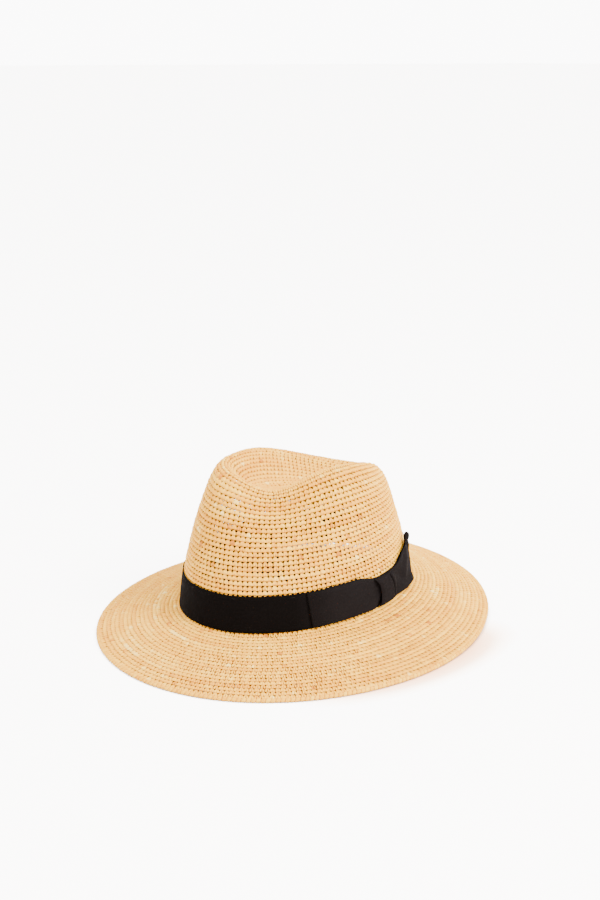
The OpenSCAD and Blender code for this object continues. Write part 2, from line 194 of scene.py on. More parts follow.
# ---------------------------------------------------------------- mesh helpers
def bake_uv(me, nf):
    """Every face gets a small cell of its own, so the bake layer never overlaps."""
    g = int(math.ceil(math.sqrt(nf)))
    lay = me.uv_layers.new(name="OFBake")
    tot = np.zeros(nf, np.int32)
    me.polygons.foreach_get("loop_total", tot)
    idx = np.repeat(np.arange(nf), tot)
    start = np.concatenate([[0], np.cumsum(tot)[:-1]])
    k = np.arange(len(idx)) - np.repeat(start, tot)
    n = np.repeat(tot, tot)
    corner = np.array([[0.12, 0.12], [0.88, 0.12], [0.88, 0.88], [0.12, 0.88]])
    uv = np.where((n <= 4)[:, None], corner[np.minimum(k, 3)],
                  np.stack([0.5 + 0.38 * np.cos(k / n * 6.2832), 0.5 + 0.38 * np.sin(k / n * 6.2832)], -1))
    row = idx // g
    col = idx % g
    col = np.where(row % 2 == 1, g - 1 - col, col)
    uv = (uv + np.stack([col, row], -1)) / g
    lay.data.foreach_set("uv", uv.astype(np.float32).ravel())


def make_mesh(name, verts, faces, tint=None, along=None, smooth=True):
    """verts in mm (n,3); faces: list of int arrays (m,3) or (m,4); tint and along: one value per vertex."""
    me = bpy.data.meshes.new(name)
    verts = np.asarray(verts, float).reshape(-1, 3) / 1000.0
    faces = [np.asarray(f, np.int32) for f in faces if len(f)]
    nf = sum(len(f) for f in faces)
    loops = np.concatenate([f.ravel() for f in faces])
    totals = np.concatenate([np.full(len(f), f.shape[1], np.int32) for f in faces])
    starts = np.concatenate([[0], np.cumsum(totals)[:-1]]).astype(np.int32)
    me.vertices.add(len(verts))
    me.vertices.foreach_set("co", verts.astype(np.float32).ravel())
    me.loops.add(len(loops))
    me.loops.foreach_set("vertex_index", loops)
    me.polygons.add(nf)
    me.polygons.foreach_set("loop_start", starts)
    me.polygons.foreach_set("loop_total", totals)
    me.polygons.foreach_set("use_smooth", np.full(nf, smooth))
    me.update(calc_edges=True)
    for nm, val in (("tint", tint), ("along", along)):
        if val is not None:
            at = me.attributes.new(nm, "FLOAT", "POINT")
            at.data.foreach_set("value", np.asarray(val, np.float32).ravel())
    bake_uv(me, nf)
    ob = bpy.data.objects.new(name, me)
    bpy.context.collection.objects.link(ob)
    return ob


def finish_piece(ob, mat, slot, *nodes):
    ob.data.materials.clear()
    ob.data.materials.append(mat)
    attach(ob, "root")
    if nodes:
        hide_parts(*nodes)
    return ob


def tubes(centres, normals, width, thick, sides=8, closed=False, phase=0.0):
    """Tubes of elliptic section. centres (S, m, 3); normals (S, m, 3); width and thick broadcast to (S, m)."""
    c = np.asarray(centres)
    if closed:
        tan = np.roll(c, -1, 1) - np.roll(c, 1, 1)
    else:
        tan = np.gradient(c, axis=1)
    tan /= np.linalg.norm(tan, axis=-1, keepdims=True) + 1e-12
    side = np.cross(tan, normals)
    side /= np.linalg.norm(side, axis=-1, keepdims=True) + 1e-12
    nn = np.cross(side, tan)
    s, m = c.shape[:2]
    w = np.broadcast_to(width, (s, m))[..., None, None] / 2
    h = np.broadcast_to(thick, (s, m))[..., None, None] / 2
    a = (np.arange(sides) / sides * 2 * math.pi + phase)[None, None, :, None]
    v = c[:, :, None, :] + side[:, :, None, :] * w * np.cos(a) + nn[:, :, None, :] * h * np.sin(a)
    base = (np.arange(s) * m * sides)[:, None, None]
    mm = m if closed else m - 1
    i = np.arange(mm)[None, :, None]
    j = (i + 1) % m
    k = np.arange(sides)[None, None, :]
    l = (k + 1) % sides
    quads = np.stack([base + i * sides + k, base + j * sides + k, base + j * sides + l, base + i * sides + l], -1).reshape(-1, 4)
    faces = [quads]
    if not closed:
        e = np.arange(sides)
        faces.append((base[:, 0] + e[None]).reshape(s, sides))
        faces.append((base[:, 0] + (m - 1) * sides + e[None, ::-1]).reshape(s, sides))
    return v.reshape(-1, 3), faces


# ---------------------------------------------------------------- materials
def nodes_of(name):
    mat = bpy.data.materials.new(name)
    mat.use_nodes = True
    nt = mat.node_tree
    nt.nodes.clear()
    out = nt.nodes.new("ShaderNodeOutputMaterial")
    bsdf = nt.nodes.new("ShaderNodeBsdfPrincipled")
    nt.links.new(bsdf.outputs["BSDF"], out.inputs["Surface"])
    return mat, nt, bsdf


def attr(nt, name):
    a = nt.nodes.new("ShaderNodeAttribute")
    a.attribute_name = name
    return a


def ramp(nt, fac, stops):
    r = nt.nodes.new("ShaderNodeValToRGB")
    e = r.color_ramp.elements
    while len(e) > 2:
        e.remove(e[-1])
    for k, (pos, col) in enumerate(stops):
        el = e[k] if k < 2 else e.new(pos)
        el.position = pos
        el.color = (*col, 1)
    nt.links.new(fac, r.inputs["Fac"])
    return r.outputs["Color"]


def noise(nt, vec, scale, detail=3.0, rough=0.6):
    n = nt.nodes.new("ShaderNodeTexNoise")
    n.inputs["Scale"].default_value = scale
    n.inputs["Detail"].default_value = detail
    n.inputs["Roughness"].default_value = rough
    if vec is not None:
        nt.links.new(vec, n.inputs["Vector"])
    return n.outputs["Fac"]


def obj_coord(nt, sc=(1, 1, 1)):
    t = nt.nodes.new("ShaderNodeTexCoord")
    m = nt.nodes.new("ShaderNodeMapping")
    m.inputs["Scale"].default_value = sc
    nt.links.new(t.outputs["Object"], m.inputs["Vector"])
    return m.outputs["Vector"]


def mixc(nt, fac, a, b, mode="MIX"):
    m = nt.nodes.new("ShaderNodeMix")
    m.data_type = "RGBA"
    m.blend_type = mode
    for key, val in (("Factor", fac),):
        if isinstance(val, (int, float)):
            m.inputs[0].default_value = val
        else:
            nt.links.new(val, m.inputs[0])
    for idx, val in ((6, a), (7, b)):
        if isinstance(val, tuple):
            m.inputs[idx].default_value = (*val, 1)
        else:
            nt.links.new(val, m.inputs[idx])
    return m.outputs[2]


def bump(nt, height, strength, dist, bsdf):
    b = nt.nodes.new("ShaderNodeBump")
    b.inputs["Strength"].default_value = strength
    b.inputs["Distance"].default_value = dist
    nt.links.new(height, b.inputs["Height"])
    nt.links.new(b.outputs["Normal"], bsdf.inputs["Normal"])


def straw_material():
    mat, nt, bsdf = nodes_of("raffia straw")
    tint = attr(nt, "tint").outputs["Fac"]
    base = ramp(nt, tint, [(0.0, (0.50, 0.175, 0.007)), (0.22, (0.72, 0.325, 0.013)), (0.55, (0.81, 0.420, 0.022)), (0.80, (0.87, 0.510, 0.048)), (1.0, (0.90, 0.65, 0.18))])
    streak = noise(nt, obj_coord(nt, (900, 900, 900)), 1.0, 2.0, 0.7)
    cloud = noise(nt, obj_coord(nt), 34.0, 2.0, 0.5)
    col = mixc(nt, 0.28, base, ramp(nt, streak, [(0.25, (0.66, 0.48, 0.30)), (0.75, (1.0, 0.97, 0.90))]), "MULTIPLY")
    col = mixc(nt, 0.30, col, ramp(nt, cloud, [(0.30, (0.90, 0.80, 0.66)), (0.70, (1.0, 1.0, 1.0))]), "MULTIPLY")
    nt.links.new(col, bsdf.inputs["Base Color"])
    bsdf.inputs["Roughness"].default_value = 0.58
    bsdf.inputs["Specular IOR Level"].default_value = 0.14
    bump(nt, streak, 0.35, 0.0002, bsdf)
    return mat


def ribbon_material(name, dark, light, sheen=0.0, rough=0.85, spec=0.06, painted_side_shade=False):
    mat, nt, bsdf = nodes_of(name)
    fine = noise(nt, obj_coord(nt, (1400, 1400, 1400)), 1.0, 2.0, 0.6)
    wide = noise(nt, obj_coord(nt), 60.0, 2.0, 0.5)
    col = ramp(nt, fine, [(0.3, dark), (0.7, light)])
    col = mixc(nt, 0.4, col, ramp(nt, wide, [(0.3, (0.75, 0.72, 0.70)), (0.7, (1, 1, 1))]), "MULTIPLY")
    if painted_side_shade:
        # painted shade: the ribbon is darker on the side away from the light and lighter toward the bow
        dot = nt.nodes.new("ShaderNodeVectorMath")
        dot.operation = "DOT_PRODUCT"
        nt.links.new(obj_coord(nt), dot.inputs[0])
        dot.inputs[1].default_value = (5.0, 7.0, 0.0)
        col = mixc(nt, 1.0, col, ramp(nt, dot.outputs["Value"], [(0.0, (0.34, 0.30, 0.27)), (0.12, (0.62, 0.58, 0.56)), (0.28, (1, 1, 1))]), "MULTIPLY")
    nt.links.new(col, bsdf.inputs["Base Color"])
    bsdf.inputs["Roughness"].default_value = rough
    bsdf.inputs["Specular IOR Level"].default_value = spec
    bsdf.inputs["Sheen Weight"].default_value = sheen
    bsdf.inputs["Sheen Roughness"].default_value = 0.45
    bump(nt, fine, 0.35, 0.00012, bsdf)
    return mat


def metal_material(name, color, rough):
    mat, nt, bsdf = nodes_of(name)
    n = noise(nt, obj_coord(nt, (300, 300, 300)), 1.0, 2.0, 0.5)
    nt.links.new(ramp(nt, n, [(0.3, tuple(c * 0.85 for c in color)), (0.7, color)]), bsdf.inputs["Base Color"])
    bsdf.inputs["Metallic"].default_value = 1.0
    bsdf.inputs["Roughness"].default_value = rough
    return mat


STRAW = straw_material()
# painted shade: the band and bow ribbon are darkened on the side away from the light
RIBBON = ribbon_material("black ribbon", (0.0040, 0.0032, 0.0032), (0.0070, 0.0056, 0.0057), 0.0, 0.9, 0.025, True)
BOW = RIBBON
THREAD = ribbon_material("black thread", (0.006, 0.005, 0.005), (0.010, 0.009, 0.009))
SWEAT = ribbon_material("sweatband ribbon", (0.0070, 0.0060, 0.0056), (0.0120, 0.0104, 0.0096), 0.0, 0.85, 0.06)
LABEL = ribbon_material("label cloth", (0.72, 0.68, 0.60), (0.84, 0.81, 0.74), 0.0, 0.8, 0.2)
STEEL = metal_material("edge wire steel", (0.55, 0.55, 0.56), 0.35)
BRASS = metal_material("sleeve brass", (0.68, 0.50, 0.24), 0.35)


# ---------------------------------------------------------------- crochet
def count_of(t_mid, pitch):
    p, _ = ev(PHI, np.full(NPH, t_mid))
    per = float(np.linalg.norm(np.roll(p, -1, 0) - p, axis=-1).sum())
    return max(6, int(round(per / pitch))), per


def round_cells(t_mid, n, phase):
    """Stitch centres round one crochet round: angle and cell width in degrees, and the real pitch."""
    p, _ = ev(PHI, np.full(NPH, t_mid))
    seg = np.linalg.norm(np.roll(p, -1, 0) - p, axis=-1)
    cum = np.concatenate([[0], np.cumsum(seg)])
    half = np.interp(180.0, np.append(PHI, 360.0), cum)
    s = (np.arange(n) + phase) / n * cum[-1] + half
    ang = np.interp(s % cum[-1], cum, np.append(PHI, 360.0))
    nxt = np.interp((s + 0.5 * cum[-1] / n) % cum[-1], cum, np.append(PHI, 360.0))
    prv = np.interp((s - 0.5 * cum[-1] / n) % cum[-1], cum, np.append(PHI, 360.0))
    return ang, (nxt - prv) % 360.0, cum[-1] / n


LEG_A = np.array([0.035, 0.070, 0.150, 0.225, 0.250, 0.235])
LEG_B = np.array([-0.08, 0.13, 0.36, 0.58, 0.79, 0.98])
LEG_D = np.array([-1.85, -1.25, -0.60, -0.28, -0.42, -1.25])
LEG_W = np.array([0.48, 0.60, 0.88, 1.10, 1.14, 0.86])
LEG_H = np.array([0.75, 0.95, 1.0, 1.05, 1.0, 0.75])


def closing(ang, t):
    """1 where the straw was pressed flat and the holes are closed, 0 elsewhere."""
    w = wrap(ang)
    front = np.exp(-(((w - 6) / 26) ** 2) - ((t - 15.9) / 0.75) ** 2)
    tip = sm((t - 18.6) / 1.2)
    return np.clip(front + 0.75 * tip, 0, 1)


def make_rounds(spec, k_d=1.0, k_w=1.0, drift_n=0.0, strand=(0.60, 0.40, -1.85, 0.45), leg_d=LEG_D, leg_w=LEG_W, leg_a=LEG_A, uneven=0.055):
    """spec: list of (t_in, t_out, pitch) from the inner side of each round to its outer side."""
    legs, rows_out = [], []
    walk = wide = 0.0
    n_last = None
    for k, (t_in, t_out, pitch) in enumerate(spec):
        t_mid = 0.5 * (t_in + t_out)
        n, per = count_of(t_mid, pitch)
        if n_last is not None and abs(per / n_last / pitch - 1) < drift_n:
            n = n_last
        n_last = n
        ang, cell, real = round_cells(t_mid, n, 0.06 * k)
        # colour and tightness drift slowly along the yarn, each stitch differs a little more
        st = rng.normal(0, 1, (2, n))
        drift, tight = np.zeros(n), np.zeros(n)
        for i in range(n):
            walk = 0.91 * walk + 0.41 * st[0, i]
            wide = 0.93 * wide + 0.37 * st[1, i]
            drift[i], tight[i] = walk, wide
        odd = rng.random(n)
        extra = np.where(odd < 0.015, -0.38, np.where(odd > 0.975, 0.30, 0.0))
        tight = k_w * (1 + 0.085 * tight + rng.normal(0, uneven, n)) + 0.42 * closing(ang, t_mid)
        j_a = rng.normal(0, 0.030, n)
        j_b = rng.normal(0, 0.030, n)
        j_d = rng.normal(0, 0.08, n)
        flat = 1 - 0.55 * closing(ang, t_mid)
        for side in (-1, 1):
            jw = 1 + rng.normal(0, 0.07, n)
            m = 6
            a = side * leg_a[None] + j_a[:, None] + 0.05 * (LEG_B[None] - 0.5) + rng.normal(0, 0.012, (n, m))
            b = LEG_B[None] + j_b[:, None] + side * 0.02 + rng.normal(0, 0.010, (n, m))
            d = k_d * leg_d[None] * flat[:, None] + j_d[:, None] * np.array([0.3, 0.8, 1, 1, 0.8, 0.3])[None]
            ph = ang[:, None] + a * cell[:, None]
            tt = t_in + (t_out - t_in) * b
            q, nn = ev(ph, tt)
            c = q + nn * d[..., None]
            legs.append((c, nn, 0.50 * real * leg_w[None] * (jw * tight)[:, None], 1.05 * LEG_H[None] * np.ones((n, 1)),
                         drift * 0.12 + extra + rng.normal(0, 0.075, n) + 0.52))
        # strand that runs behind the stitches all the way round
        mm = 2 * n
        f = np.arange(mm) / mm
        un = np.unwrap(np.append(ang, ang[0]) * D2R) / D2R
        ph = np.interp(f * n, np.arange(n + 1), un)
        full = sm((95 - np.abs(wrap(ph - 235))) / 20) if leg_a is LEG_A else 0 * ph      # denser inside at the far side
        tt = t_in + (t_out - t_in) * (strand[0] - 0.20 * full + 0.04 * np.sin(2 * np.pi * f * n) + rng.normal(0, 0.015, mm))
        q, nn = ev(ph, tt)
        c = q + nn * (strand[2] + rng.normal(0, 0.03, mm))[:, None]
        rowpitch = abs(float(np.interp(t_in, TT, _len) - np.interp(t_out, TT, _len)))
        # painted shade: the tint of the back strand comes from strand[3], set low so that the holes look dark
        rows_out.append((c[None], nn[None], (strand[1] * (1 + 1.5 * full) * rowpitch)[None], 0.85, strand[3] + 0.115 * np.interp(f * n, np.arange(n), drift)))
    return legs, rows_out


def pieces_from(name, legs, limit, node):
    """Joins leg groups to meshes that stay below the face limit."""
    group, count, made = [], 0, 0
    out = []

    def flush():
        nonlocal group, count, made
        if not group:
            return
        c = np.concatenate([g[0] for g in group])
        nn = np.concatenate([g[1] for g in group])
        w = np.concatenate([g[2] for g in group])
        h = np.concatenate([g[3] for g in group])
        tint = np.concatenate([g[4] for g in group])
        v, f = tubes(c, nn, w, h, sides=8, phase=math.pi / 8)
        ob = make_mesh("%s_%d" % (name, made + 1), v, f, tint=np.repeat(np.clip(tint, 0, 1), 48))
        out.append(finish_piece(ob, STRAW, "straw", node))
        made += 1
        group, count = [], 0

    for g in legs:
        tris = len(g[0]) * (5 * 8 * 2 + 12)
        if count + tris > limit:
            flush()
        group.append(g)
        count += tris
    flush()
    return out


def back_piece(name, rows, node):
    vs, fs, ts, base = [], [], [], 0
    for c, nn, w, h, tint in rows:
        v, f = tubes(c, nn, w, h, sides=6, closed=True, phase=math.pi / 6)
        vs.append(v)
        fs.extend([x + base for x in f])
        ts.append(np.repeat(np.clip(tint, 0, 1), 6))
        base += len(v)
    ob = make_mesh(name, np.concatenate(vs), fs, tint=np.concatenate(ts))
    return finish_piece(ob, STRAW, "straw", node)


CROWN_LEN = float(np.interp(T_TIP, TT, _len))
BRIM_LEN = -float(np.interp(0.45, TT, _len))     # the last round laps over the edge round
N_CROWN = int(round(CROWN_LEN / 3.7))
N_BRIM = int(round(BRIM_LEN / 3.45))
crown_spec = []
for k in range(N_CROWN - 1, -1, -1):
    q = CROWN_LEN / N_CROWN
    crown_spec.append((t_of_len((k + 1) * q), t_of_len(k * q), 3.9))
brim_spec = []
for k in range(N_BRIM):
    q = BRIM_LEN / N_BRIM
    brim_spec.append((t_of_len(-k * q), t_of_len(-(k + 1) * q), 3.85))
CROWN_D = np.array([-2.00, -1.40, -0.62, -0.26, -0.36, -1.20])
CROWN_W = np.array([0.42, 0.53, 0.86, 1.12, 1.18, 0.92])
BRIM_A = np.array([0.110, 0.130, 0.185, 0.240, 0.255, 0.250])
BRIM_D = np.array([-1.10, -0.80, -0.44, -0.30, -0.32, -0.62])
BRIM_W = np.array([0.66, 0.72, 0.88, 1.02, 1.08, 1.00])
# painted shade: the strands behind the stitches get a low tint (0.25 crown, 0.10 brim), darker straw so that the holes
# look shaded
legs_c, rows_c = make_rounds(crown_spec, 1.0, 1.0, 0.07, (0.56, 0.40, -1.85, 0.25), CROWN_D, CROWN_W)
legs_b, rows_b = make_rounds(brim_spec, 1.0, 1.0, 0.0, (0.13, 0.92, -2.0, 0.10), BRIM_D, BRIM_W, BRIM_A, 0.09)
pieces_from("straw_crown_stitches", legs_c, 190000, "straw_crown")
pieces_from("straw_brim_stitches", legs_b, 190000, "straw_brim")
back_piece("straw_crown_back", rows_c, "straw_crown")
back_piece("straw_brim_back", rows_b, "straw_brim")
print("crown rounds", N_CROWN, "brim rounds", N_BRIM, "stitches", sum(len(g[0]) for g in legs_c) // 2, sum(len(g[0]) for g in legs_b) // 2)


# ---------------------------------------------------------------- edge roll
def roll_c(p):
    q = brim_pt(1.0, p)
    nx, ny = out_n(p)
    z = edge_z(p) + ROLL_R
    return np.stack([q[..., 0] - nx * ROLL_R, q[..., 1] - ny * ROLL_R, z], -1)


def edge_roll():
    p0 = np.arange(1440) * 0.25
    c0 = roll_c(p0)
    seg = np.linalg.norm(np.roll(c0, -1, 0) - c0, axis=-1)
    cum = np.concatenate([[0], np.cumsum(seg)])
    n = int(round(cum[-1] / 3.6))
    s = np.arange(n) / n * cum[-1]
    ang = np.interp(s, cum, np.append(p0, 360.0))
    dphi = 360.0 / n
    m = 10
    a = np.linspace(-190, 215, m)[None] + rng.normal(0, 4, (n, 1))
    shift = np.linspace(-0.30, 0.30, m)[None]
    ph = ang[:, None] + shift * dphi * (1 + rng.normal(0, 0.08, (n, 1)))
    c = roll_c(ph)
    nx, ny = out_n(ph)
    rad = (ROLL_R - 0.44) * (1 + rng.normal(0, 0.035, (n, 1))) + np.where(a > 120, 0.5 * (a - 120) / 95, 0)
    ca, sa = np.cos(a * D2R), np.sin(a * D2R)
    off = np.stack([nx * ca, ny * ca, sa + 0 * ca], -1)
    v, f = tubes(c + off * rad[..., None], off, 3.6 * 0.90 * (1 + rng.normal(0, 0.06, (n, 1))) * np.ones((n, m)), 0.9, sides=8, phase=math.pi / 8)
    tint = np.repeat(np.clip(0.52 + rng.normal(0, 0.12, n), 0, 1), m * 8)
    # plain strand under the wraps so that the wire never shows
    pc = np.arange(720) * 0.5
    cc = roll_c(pc)
    nx, ny = out_n(pc)
    nn = np.stack([nx, ny, 0 * nx], -1)
    v2, f2 = tubes(cc[None], nn[None], 2 * (ROLL_R - 0.62), 2 * (ROLL_R - 0.62), sides=10, closed=True)
    ob = make_mesh("brim_edge_round", np.concatenate([v, v2]), f + [x + len(v) for x in f2], tint=np.concatenate([tint, np.full(len(v2), 0.35)]))
    return finish_piece(ob, STRAW, "straw", "brim_edge_roll")


edge_roll()


# ---------------------------------------------------------------- ribbons
def ribbon(name, mid, thick, mat, slot, nodes, rib=0.75, closed=False, depth=0.22, puff=None):
    """mid: (m, n, 3) middle surface, m along the ribbon and n across it. Ribs run across."""
    m, n = mid.shape[:2]
    if closed:
        du = np.roll(mid, -1, 0) - np.roll(mid, 1, 0)
    else:
        du = np.gradient(mid, axis=0)
    dv = np.gradient(mid, axis=1)
    nn = np.cross(du, dv)
    nn /= np.linalg.norm(nn, axis=-1, keepdims=True) + 1e-12
    seg = np.linalg.norm(np.diff(mid[:, n // 2], axis=0), axis=-1)
    s = np.concatenate([[0], np.cumsum(seg)])
    total = s[-1]
    if closed:
        total += np.linalg.norm(mid[0, n // 2] - mid[-1, n // 2])
        rib = total / round(total / rib)
    prof = 1 - depth * (0.5 - 0.5 * np.cos(2 * math.pi * s / rib))
    edge = np.ones(n)
    edge[0] = edge[-1] = 0.8
    h = thick / 2 * prof[:, None, None] * edge[None, :, None]
    up, dn = mid + nn * h, mid - nn * h
    v = np.concatenate([up.reshape(-1, 3), dn.reshape(-1, 3)])
    o = m * n
    i = np.arange(m if closed else m - 1)[:, None]
    j = (i + 1) % m
    k = np.arange(n - 1)[None]
    top = np.stack([i * n + k, j * n + k, j * n + k + 1, i * n + k + 1], -1).reshape(-1, 4)
    bot = np.stack([o + i * n + k, o + i * n + k + 1, o + j * n + k + 1, o + j * n + k], -1).reshape(-1, 4)
    i1, j1 = i[:, 0], j[:, 0]
    e0 = np.stack([i1 * n, o + i1 * n, o + j1 * n, j1 * n], -1)
    e1 = np.stack([i1 * n + n - 1, j1 * n + n - 1, o + j1 * n + n - 1, o + i1 * n + n - 1], -1)
    faces = [top, bot, e0, e1]
    if not closed:
        kk = np.arange(n - 1)
        faces.append(np.stack([kk, kk + 1, o + kk + 1, o + kk], -1))
        b = (m - 1) * n
        faces.append(np.stack([b + kk, o + b + kk, o + b + kk + 1, b + kk + 1], -1))
    ob = make_mesh(name, v, faces)
    return finish_piece(ob, mat, slot, *nodes)


def angles_by_length(p0, p1, h, step):
    """Angles from p0 to p1 spaced evenly along the wall at height h."""
    p = np.linspace(p0, p1, 400)
    q = wall(p, np.full(400, h), np.zeros(400))
    cum = np.concatenate([[0], np.cumsum(np.linalg.norm(np.diff(q, axis=0), axis=-1))])
    n = max(8, int(abs(cum[-1]) / step))
    return np.interp(np.linspace(0, cum[-1], n + 1), cum, p), cum[-1]


def drawn(p):
    """How far the knot draws the upper ribbon edge down."""
    return GATHER * np.exp(-(((p - KNOT_AT - 3) / 15) ** 4))


def dent(p, h):
    """Fold that runs from the knot into the rear half of the bow."""
    return np.exp(-(((p - 121.5 - (18 - h) * 0.45) / 3.4) ** 2) - ((h - 17) / 8.5) ** 2)


def swell(p, h):
    return SWELL * 1.25 * sm((p - KNOT_AT - 5) / 12) * sm((LOOP_REAR - 9.0 - p) / 5.5) * (1 - 0.80 * sm((h - 3) / 12)) * (0.80 + 0.20 * sm(h / 5.5)) * (1 - 0.92 * dent(p, h))


def band():
    ang, _ = angles_by_length(0, 360, 15, 0.19)
    ang = ang[:-1]
    v = np.linspace(0, 1, 11)
    wave = 0.14 * np.sin(ang * D2R * 5 + 1.0) + 0.10 * np.sin(ang * D2R * 9 + 0.4) + 0.07 * np.sin(ang * D2R * 23)
    lo = 1.15 + 0.6 * wave
    hi = 1.5 + BAND_W - drawn(ang) + wave
    h = lo[:, None] + (hi - lo)[:, None] * v[None]
    d = 0.50 + 0.10 * (1 + np.sin(ang * D2R * 7))[:, None] * v[None] + 0.25 * v[None] ** 6
    mid = wall(np.repeat(ang[:, None], 11, 1), h, d)
    ribbon("hat_band_ribbon", mid, 0.62, RIBBON, "ribbon", ["hat_band"], closed=True)


band()


def hairpin(name, pf, pk, node, tuck, rear, slant):
    """Folded bow loop. It goes out from the knot at pk along the band, folds at pf and comes back above."""
    sgn = 1 if pk > pf else -1
    step = 0.19
    angs, length = angles_by_length(pk, pf + sgn * 0.5, 15, step)
    deg_mm = abs(pf - pk) / length
    low = 1.21
    r = 0.62
    path = [(a, low) for a in angs]
    arc = np.linspace(-90, 90, 13)
    cx = angs[-1]
    for a in arc[1:-1]:
        path.append((cx - sgn * r * math.cos(a * D2R) * deg_mm, low + r + r * math.sin(a * D2R)))
    path += [(a, low + 2 * r) for a in angs[::-1]]
    path = np.array(path)
    n = 13
    v = np.linspace(0, 1, n)
    p = path[:, 0]
    u = np.clip((p - pk) / (pf - pk), 0, 1)           # 0 at the knot, 1 at the fold
    outer = np.where(np.arange(len(path)) > len(path) // 2, 1.0, 0.0)
    lo = 1.7 + tuck * sm(1 - np.abs(p - pk) / 9.5)
    hi = BAND_W + 1.2 - drawn(p)
    h = lo[:, None] + (hi - lo)[:, None] * v[None]
    pp = p[:, None] + slant * (0.5 - v[None]) * (u ** 2)[:, None]
    if rear:
        pp = pp - (2.2 * (1 - v[None]) + 7.4 * (1 - v[None]) ** 4.5) * (u ** 2)[:, None]      # lower corner of the loop is pulled in
    near = np.exp(-((u / 0.14) ** 2))
    d = path[:, 1][:, None] + outer[:, None] * (
        0.28 * np.sin(np.pi * u)[:, None] * np.sin(np.pi * v[None])
        + 0.30 * near[:, None] * np.cos(2 * np.pi * v[None] * 2.0)
        + 0.10 * np.sin(u * 11.0 + 0.6)[:, None] * (v[None] - 0.2)
        + (0 if rear else 1) * (1.7 * sm(1 - np.abs(p - 100.0) / 8)[:, None] * np.exp(-((v[None] / 0.3) ** 2))
                                - 0.95 * np.exp(-(((p - 103.6) / 2.2) ** 2))[:, None]))
    if rear:
        d = d + outer[:, None] * (swell(pp, h) - 0.45 * dent(pp, h))
    else:
        # the fold stands a little off the band, most at its lower end
        d = d + (0.35 + 0.30 * (1 - v[None])) * (sm((u - 0.90) / 0.10) * (0.3 + 0.7 * outer))[:, None]
    mid = wall(pp, h, d)
    ribbon(name, mid, 0.55, BOW, "ribbon", [node])


hairpin("bow_front_loop_ribbon", 67.6, KNOT_AT - 1.0, "bow_front_loop", 9.5, False, 2.2)
hairpin("bow_rear_loop_ribbon", LOOP_REAR, KNOT_AT + 1.0, "bow_rear_loop", 1.0, True, 0.0)


def tail():
    """Rear end of the ribbon. It fans up and back, its top corner is rolled over outward."""
    n_u, n = 280, 57
    u = np.linspace(0, 1, n_u)[:, None]
    v = np.linspace(0, 1, n)[None]
    p0 = KNOT_AT + 0.6
    p = p0 + (143.5 - p0) * u + 0 * v
    lo = 2.4 + 1.2 * u
    hi = BAND_W + 0.6 - drawn(p0 + (143.5 - p0) * u) + (37.8 - BAND_W - 0.6) * u ** 1.5
    roll = 10.4 * sm((u - 0.76) / 0.18)                      # length of ribbon taken up by the rolled corner
    vs = np.minimum(v / 0.74, 1)
    h = lo + (hi - lo) * vs
    p = p - 3.2 * u ** 3 * (1 - vs) ** 2
    ridge = np.exp(-(((p - 128.0 - (h - 17) * 0.35) / 2.8) ** 2)) * sm((h - 5) / 9)
    d = 3.35 - 0.3 * u ** 2 + swell(p, h) + 0.35 * u ** 2 * np.sin(np.pi * vs) - 0.85 * sm((h - 27) / 8) * u ** 2 \
        + 1.6 * sm((u - 0.84) / 0.16) * sm((h - 23) / 9) * (1 - sm((h - 32.5) / 5)) + 1.45 * ridge - 0.5 * dent(p, h) + 0.30 * np.exp(-((u / 0.12) ** 2)) * np.cos(2 * np.pi * vs * 2.0)
    over = np.clip((v - 0.74) / 0.26, 0, 1)
    turn = np.maximum(math.radians(300) * sm((u - 0.72) / 0.2) * over, 1e-4)
    ln = np.maximum(roll, 0.35) * over
    h = h + ln * np.sin(turn) / turn
    d = d + ln * (1 - np.cos(turn)) / turn
    mid = wall(p, h, d)
    ribbon("bow_tail_ribbon", mid, 0.5, BOW, "ribbon", ["bow_tail"])


tail()


def knot():
    n_u, n = 130, 70
    u = np.linspace(-1, 1, n_u)[None]
    v = np.linspace(0, 1, n)[:, None]
    hh = 0.6 + (BAND_W + 0.6 - GATHER) * v
    lft = np.interp(hh, [1, 6, 13, 20, 25], [102.9, 104.6, 105.3, 104.7, 102.8])
    rgt = np.interp(hh, [1, 13, 25], [117.0, 119.4, 118.0])
    p = 0.5 * (lft + rgt) + 0.5 * (rgt - lft) * u
    groove = np.interp(hh, [1, 5, 10, 16, 23], [112.8, 114.4, 115.1, 114.7, 113.0])
    low_right = sm((p - groove + 0.4) / 0.8)
    d = 1.5 + 4.1 * (1 - np.clip((np.abs(u + 0.12)) / 1.12, 0, 1) ** 5) ** 0.6 - 3.0 * np.abs(2 * v - 1) ** 10 \
        - 0.7 * low_right - 2.3 * np.exp(-(((p - groove) / 0.62) ** 2)) + 0.22 * np.exp(-(((p - lft - 1.6) / 0.9) ** 2)) \
        - 0.35 * np.exp(-(((p - 110.2) / 0.7) ** 2)) * sm((hh - 12) / 8)
    mid = wall(p, hh + 0 * u, d)[::-1]
    ribbon("bow_knot_ribbon", mid, 0.55, BOW, "ribbon", ["bow_knot"])


knot()


def sweat():
    ang, _ = angles_by_length(0, 360, 15, 0.25)
    ang = ang[:-1]
    v = np.linspace(0, 1, 7)
    d = -(STRAW_T + GAP + SWEAT_T / 2) + 0 * ang[:, None] - 0.15 * (v[None] ** 4)
    mid = wall(np.repeat(ang[:, None], 7, 1), 1.6 + SWEAT_H * v[None] + 0 * ang[:, None], d)
    ribbon("sweatband_ribbon", mid[:, ::-1], 0.7, SWEAT, "sweatband_ribbon", ["sweatband"], rib=1.0, closed=True)


sweat()


def carry(node, mat, slot):
    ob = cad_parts[node]
    ob.data.materials.clear()
    ob.data.materials.append(mat)


carry("brim_wire", STEEL, "edge_wire")
carry("wire_joiner", BRASS, "crimp_sleeve")


